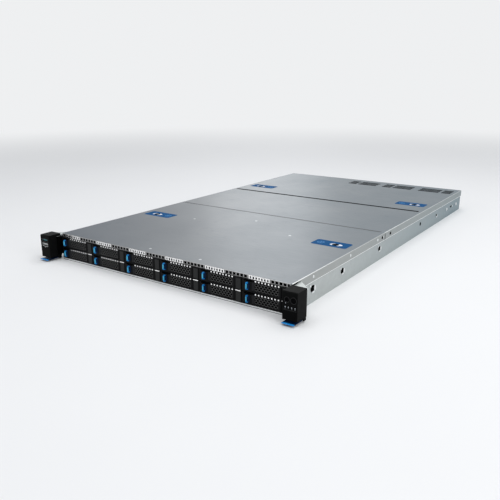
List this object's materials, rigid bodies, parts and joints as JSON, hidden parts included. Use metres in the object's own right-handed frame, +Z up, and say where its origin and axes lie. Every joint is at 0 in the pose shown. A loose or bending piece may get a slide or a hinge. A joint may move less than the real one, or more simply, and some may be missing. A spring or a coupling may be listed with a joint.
{
  "type": "barebone rack server",
  "caption": "Low rack server case with front drive carriers, two lift-off covers, rack ears with rail latches, fans, system board and rear power supplies.",
  "frame": {"origin": "middle of the case floor, on its underside", "axes": "+X to the right seen from the front, +Y from the front to the rear, +Z up"},
  "size_m": [0.4826, 0.8066, 0.0432],
  "materials": {
    "plated_steel": "zinc-plated sheet, satin",
    "satin_steel": "satin sheet",
    "black_plastic": "fine matt moulding",
    "blue_plastic": "satin moulding",
    "circuit_board": "green solder mask",
    "fan_plastic": "matt moulding",
    "aluminium_fins": "bare aluminium"
  },
  "bodies": {
    "chassis": {"chassis_tub": "plated_steel", "drive_cage": "plated_steel", "left_rack_ear": "black_plastic", "right_rack_ear": "black_plastic", "drive_backplane": "circuit_board", "fan_frames": "fan_plastic", "system_board": "circuit_board", "cpu_heatsinks": "aluminium_fins"},
    "drive_carrier_top_1": {"drive_carrier_top_1": "black_plastic"},
    "drive_carrier_top_2": {"drive_carrier_top_2": "black_plastic"},
    "drive_carrier_top_3": {"drive_carrier_top_3": "black_plastic"},
    "drive_carrier_top_4": {"drive_carrier_top_4": "black_plastic"},
    "drive_carrier_top_5": {"drive_carrier_top_5": "black_plastic"},
    "drive_carrier_top_6": {"drive_carrier_top_6": "black_plastic"},
    "drive_carrier_bottom_1": {"drive_carrier_bottom_1": "black_plastic"},
    "drive_carrier_bottom_2": {"drive_carrier_bottom_2": "black_plastic"},
    "drive_carrier_bottom_3": {"drive_carrier_bottom_3": "black_plastic"},
    "drive_carrier_bottom_4": {"drive_carrier_bottom_4": "black_plastic"},
    "drive_carrier_bottom_5": {"drive_carrier_bottom_5": "black_plastic"},
    "drive_carrier_bottom_6": {"drive_carrier_bottom_6": "black_plastic"},
    "carrier_lever_top_1": {"carrier_lever_top_1": "black_plastic"},
    "carrier_lever_top_2": {"carrier_lever_top_2": "black_plastic"},
    "carrier_lever_top_3": {"carrier_lever_top_3": "black_plastic"},
    "carrier_lever_top_4": {"carrier_lever_top_4": "black_plastic"},
    "carrier_lever_top_5": {"carrier_lever_top_5": "black_plastic"},
    "carrier_lever_top_6": {"carrier_lever_top_6": "black_plastic"},
    "carrier_lever_bottom_1": {"carrier_lever_bottom_1": "black_plastic"},
    "carrier_lever_bottom_2": {"carrier_lever_bottom_2": "black_plastic"},
    "carrier_lever_bottom_3": {"carrier_lever_bottom_3": "black_plastic"},
    "carrier_lever_bottom_4": {"carrier_lever_bottom_4": "black_plastic"},
    "carrier_lever_bottom_5": {"carrier_lever_bottom_5": "black_plastic"},
    "carrier_lever_bottom_6": {"carrier_lever_bottom_6": "black_plastic"},
    "release_button_top_1": {"release_button_top_1": "blue_plastic"},
    "release_button_top_2": {"release_button_top_2": "blue_plastic"},
    "release_button_top_3": {"release_button_top_3": "blue_plastic"},
    "release_button_top_4": {"release_button_top_4": "blue_plastic"},
    "release_button_top_5": {"release_button_top_5": "blue_plastic"},
    "release_button_top_6": {"release_button_top_6": "blue_plastic"},
    "release_button_bottom_1": {"release_button_bottom_1": "blue_plastic"},
    "release_button_bottom_2": {"release_button_bottom_2": "blue_plastic"},
    "release_button_bottom_3": {"release_button_bottom_3": "blue_plastic"},
    "release_button_bottom_4": {"release_button_bottom_4": "blue_plastic"},
    "release_button_bottom_5": {"release_button_bottom_5": "blue_plastic"},
    "release_button_bottom_6": {"release_button_bottom_6": "blue_plastic"},
    "front_cover": {"front_cover": "satin_steel"},
    "rear_cover": {"rear_cover": "satin_steel"},
    "front_cover_buttons": {"front_cover_buttons": "black_plastic"},
    "rear_cover_buttons": {"rear_cover_buttons": "black_plastic"},
    "power_supply_1": {"power_supply_1": "plated_steel"},
    "power_supply_2": {"power_supply_2": "plated_steel"},
    "left_rail_latch": {"left_rail_latch": "blue_plastic"},
    "right_rail_latch": {"right_rail_latch": "blue_plastic"},
    "power_button": {"power_button": "black_plastic"},
    "locator_button": {"locator_button": "black_plastic"},
    "fan_rotor_1": {"fan_rotor_1": "fan_plastic"},
    "fan_rotor_2": {"fan_rotor_2": "fan_plastic"},
    "fan_rotor_3": {"fan_rotor_3": "fan_plastic"},
    "fan_rotor_4": {"fan_rotor_4": "fan_plastic"},
    "fan_rotor_5": {"fan_rotor_5": "fan_plastic"},
    "fan_rotor_6": {"fan_rotor_6": "fan_plastic"}
  },
  "joints": [
    {"name": "carrier_slide_top_1", "type": "slide", "parent": "chassis", "child": "drive_carrier_top_1", "axis": [0, -1, 0], "range_m": [0, 0.16]},
    {"name": "carrier_slide_top_2", "type": "slide", "parent": "chassis", "child": "drive_carrier_top_2", "axis": [0, -1, 0], "range_m": [0, 0.16]},
    {"name": "carrier_slide_top_3", "type": "slide", "parent": "chassis", "child": "drive_carrier_top_3", "axis": [0, -1, 0], "range_m": [0, 0.16]},
    {"name": "carrier_slide_top_4", "type": "slide", "parent": "chassis", "child": "drive_carrier_top_4", "axis": [0, -1, 0], "range_m": [0, 0.16]},
    {"name": "carrier_slide_top_5", "type": "slide", "parent": "chassis", "child": "drive_carrier_top_5", "axis": [0, -1, 0], "range_m": [0, 0.16]},
    {"name": "carrier_slide_top_6", "type": "slide", "parent": "chassis", "child": "drive_carrier_top_6", "axis": [0, -1, 0], "range_m": [0, 0.16]},
    {"name": "carrier_slide_bottom_1", "type": "slide", "parent": "chassis", "child": "drive_carrier_bottom_1", "axis": [0, -1, 0], "range_m": [0, 0.16]},
    {"name": "carrier_slide_bottom_2", "type": "slide", "parent": "chassis", "child": "drive_carrier_bottom_2", "axis": [0, -1, 0], "range_m": [0, 0.16]},
    {"name": "carrier_slide_bottom_3", "type": "slide", "parent": "chassis", "child": "drive_carrier_bottom_3", "axis": [0, -1, 0], "range_m": [0, 0.16]},
    {"name": "carrier_slide_bottom_4", "type": "slide", "parent": "chassis", "child": "drive_carrier_bottom_4", "axis": [0, -1, 0], "range_m": [0, 0.16]},
    {"name": "carrier_slide_bottom_5", "type": "slide", "parent": "chassis", "child": "drive_carrier_bottom_5", "axis": [0, -1, 0], "range_m": [0, 0.16]},
    {"name": "carrier_slide_bottom_6", "type": "slide", "parent": "chassis", "child": "drive_carrier_bottom_6", "axis": [0, -1, 0], "range_m": [0, 0.16]},
    {"name": "lever_hinge_top_1", "type": "hinge", "parent": "drive_carrier_top_1", "child": "carrier_lever_top_1", "pos_m": [-0.15833, -0.377, 0.029], "axis": [0, 0, 1], "range_deg": [0, 55]},
    {"name": "lever_hinge_top_2", "type": "hinge", "parent": "drive_carrier_top_2", "child": "carrier_lever_top_2", "pos_m": [-0.0862, -0.377, 0.029], "axis": [0, 0, 1], "range_deg": [0, 55]},
    {"name": "lever_hinge_top_3", "type": "hinge", "parent": "drive_carrier_top_3", "child": "carrier_lever_top_3", "pos_m": [-0.01406, -0.377, 0.029], "axis": [0, 0, 1], "range_deg": [0, 55]},
    {"name": "lever_hinge_top_4", "type": "hinge", "parent": "drive_carrier_top_4", "child": "carrier_lever_top_4", "pos_m": [0.05807, -0.377, 0.029], "axis": [0, 0, 1], "range_deg": [0, 55]},
    {"name": "lever_hinge_top_5", "type": "hinge", "parent": "drive_carrier_top_5", "child": "carrier_lever_top_5", "pos_m": [0.1302, -0.377, 0.029], "axis": [0, 0, 1], "range_deg": [0, 55]},
    {"name": "lever_hinge_top_6", "type": "hinge", "parent": "drive_carrier_top_6", "child": "carrier_lever_top_6", "pos_m": [0.20233, -0.377, 0.029], "axis": [0, 0, 1], "range_deg": [0, 55]},
    {"name": "lever_hinge_bottom_1", "type": "hinge", "parent": "drive_carrier_bottom_1", "child": "carrier_lever_bottom_1", "pos_m": [-0.15833, -0.377, 0.0111], "axis": [0, 0, 1], "range_deg": [0, 55]},
    {"name": "lever_hinge_bottom_2", "type": "hinge", "parent": "drive_carrier_bottom_2", "child": "carrier_lever_bottom_2", "pos_m": [-0.0862, -0.377, 0.0111], "axis": [0, 0, 1], "range_deg": [0, 55]},
    {"name": "lever_hinge_bottom_3", "type": "hinge", "parent": "drive_carrier_bottom_3", "child": "carrier_lever_bottom_3", "pos_m": [-0.01406, -0.377, 0.0111], "axis": [0, 0, 1], "range_deg": [0, 55]},
    {"name": "lever_hinge_bottom_4", "type": "hinge", "parent": "drive_carrier_bottom_4", "child": "carrier_lever_bottom_4", "pos_m": [0.05807, -0.377, 0.0111], "axis": [0, 0, 1], "range_deg": [0, 55]},
    {"name": "lever_hinge_bottom_5", "type": "hinge", "parent": "drive_carrier_bottom_5", "child": "carrier_lever_bottom_5", "pos_m": [0.1302, -0.377, 0.0111], "axis": [0, 0, 1], "range_deg": [0, 55]},
    {"name": "lever_hinge_bottom_6", "type": "hinge", "parent": "drive_carrier_bottom_6", "child": "carrier_lever_bottom_6", "pos_m": [0.20233, -0.377, 0.0111], "axis": [0, 0, 1], "range_deg": [0, 55]},
    {"name": "button_press_top_1", "type": "slide", "parent": "drive_carrier_top_1", "child": "release_button_top_1", "axis": [0, 1, 0], "range_m": [0, 0.0018], "stiffness_N_per_m": 300, "springref_m": -0.001},
    {"name": "button_press_top_2", "type": "slide", "parent": "drive_carrier_top_2", "child": "release_button_top_2", "axis": [0, 1, 0], "range_m": [0, 0.0018], "stiffness_N_per_m": 300, "springref_m": -0.001},
    {"name": "button_press_top_3", "type": "slide", "parent": "drive_carrier_top_3", "child": "release_button_top_3", "axis": [0, 1, 0], "range_m": [0, 0.0018], "stiffness_N_per_m": 300, "springref_m": -0.001},
    {"name": "button_press_top_4", "type": "slide", "parent": "drive_carrier_top_4", "child": "release_button_top_4", "axis": [0, 1, 0], "range_m": [0, 0.0018], "stiffness_N_per_m": 300, "springref_m": -0.001},
    {"name": "button_press_top_5", "type": "slide", "parent": "drive_carrier_top_5", "child": "release_button_top_5", "axis": [0, 1, 0], "range_m": [0, 0.0018], "stiffness_N_per_m": 300, "springref_m": -0.001},
    {"name": "button_press_top_6", "type": "slide", "parent": "drive_carrier_top_6", "child": "release_button_top_6", "axis": [0, 1, 0], "range_m": [0, 0.0018], "stiffness_N_per_m": 300, "springref_m": -0.001},
    {"name": "button_press_bottom_1", "type": "slide", "parent": "drive_carrier_bottom_1", "child": "release_button_bottom_1", "axis": [0, 1, 0], "range_m": [0, 0.0018], "stiffness_N_per_m": 300, "springref_m": -0.001},
    {"name": "button_press_bottom_2", "type": "slide", "parent": "drive_carrier_bottom_2", "child": "release_button_bottom_2", "axis": [0, 1, 0], "range_m": [0, 0.0018], "stiffness_N_per_m": 300, "springref_m": -0.001},
    {"name": "button_press_bottom_3", "type": "slide", "parent": "drive_carrier_bottom_3", "child": "release_button_bottom_3", "axis": [0, 1, 0], "range_m": [0, 0.0018], "stiffness_N_per_m": 300, "springref_m": -0.001},
    {"name": "button_press_bottom_4", "type": "slide", "parent": "drive_carrier_bottom_4", "child": "release_button_bottom_4", "axis": [0, 1, 0], "range_m": [0, 0.0018], "stiffness_N_per_m": 300, "springref_m": -0.001},
    {"name": "button_press_bottom_5", "type": "slide", "parent": "drive_carrier_bottom_5", "child": "release_button_bottom_5", "axis": [0, 1, 0], "range_m": [0, 0.0018], "stiffness_N_per_m": 300, "springref_m": -0.001},
    {"name": "button_press_bottom_6", "type": "slide", "parent": "drive_carrier_bottom_6", "child": "release_button_bottom_6", "axis": [0, 1, 0], "range_m": [0, 0.0018], "stiffness_N_per_m": 300, "springref_m": -0.001},
    {"name": "front_cover_lift", "type": "slide", "parent": "chassis", "child": "front_cover", "axis": [0, 0, 1], "range_m": [0, 0.08]},
    {"name": "rear_cover_lift", "type": "slide", "parent": "chassis", "child": "rear_cover", "axis": [0, 0, 1], "range_m": [0, 0.08]},
    {"name": "front_cover_buttons_press", "type": "slide", "parent": "front_cover", "child": "front_cover_buttons", "axis": [0, 0, -1], "range_m": [0, 0.002], "stiffness_N_per_m": 300, "springref_m": -0.002},
    {"name": "rear_cover_buttons_press", "type": "slide", "parent": "rear_cover", "child": "rear_cover_buttons", "axis": [0, 0, -1], "range_m": [0, 0.002], "stiffness_N_per_m": 300, "springref_m": -0.002},
    {"name": "power_supply_slide_1", "type": "slide", "parent": "chassis", "child": "power_supply_1", "axis": [0, 1, 0], "range_m": [0, 0.19]},
    {"name": "power_supply_slide_2", "type": "slide", "parent": "chassis", "child": "power_supply_2", "axis": [0, 1, 0], "range_m": [0, 0.19]},
    {"name": "left_rail_latch_lift", "type": "hinge", "parent": "chassis", "child": "left_rail_latch", "pos_m": [-0.23065, -0.3837, 0.0041], "axis": [-1, 0, 0], "range_deg": [0, 3.5], "stiffness_Nm_per_rad": 0.1, "springref_deg": -1.15},
    {"name": "right_rail_latch_lift", "type": "hinge", "parent": "chassis", "child": "right_rail_latch", "pos_m": [0.23065, -0.3837, 0.0041], "axis": [-1, 0, 0], "range_deg": [0, 3.5], "stiffness_Nm_per_rad": 0.1, "springref_deg": -1.15},
    {"name": "power_button_press", "type": "slide", "parent": "chassis", "child": "power_button", "axis": [0, 1, 0], "range_m": [0, 0.001], "stiffness_N_per_m": 300, "springref_m": -0.001},
    {"name": "locator_button_press", "type": "slide", "parent": "chassis", "child": "locator_button", "axis": [0, 1, 0], "range_m": [0, 0.001], "stiffness_N_per_m": 300, "springref_m": -0.001},
    {"name": "fan_spin_1", "type": "hinge", "parent": "chassis", "child": "fan_rotor_1", "pos_m": [-0.18033, -0.1544, 0.0213], "axis": [0, 1, 0], "continuous": true},
    {"name": "fan_spin_2", "type": "hinge", "parent": "chassis", "child": "fan_rotor_2", "pos_m": [-0.1082, -0.1544, 0.0213], "axis": [0, 1, 0], "continuous": true},
    {"name": "fan_spin_3", "type": "hinge", "parent": "chassis", "child": "fan_rotor_3", "pos_m": [-0.03607, -0.1544, 0.0213], "axis": [0, 1, 0], "continuous": true},
    {"name": "fan_spin_4", "type": "hinge", "parent": "chassis", "child": "fan_rotor_4", "pos_m": [0.03607, -0.1544, 0.0213], "axis": [0, 1, 0], "continuous": true},
    {"name": "fan_spin_5", "type": "hinge", "parent": "chassis", "child": "fan_rotor_5", "pos_m": [0.1082, -0.1544, 0.0213], "axis": [0, 1, 0], "continuous": true},
    {"name": "fan_spin_6", "type": "hinge", "parent": "chassis", "child": "fan_rotor_6", "pos_m": [0.18033, -0.1544, 0.0213], "axis": [0, 1, 0], "continuous": true}
  ]
}
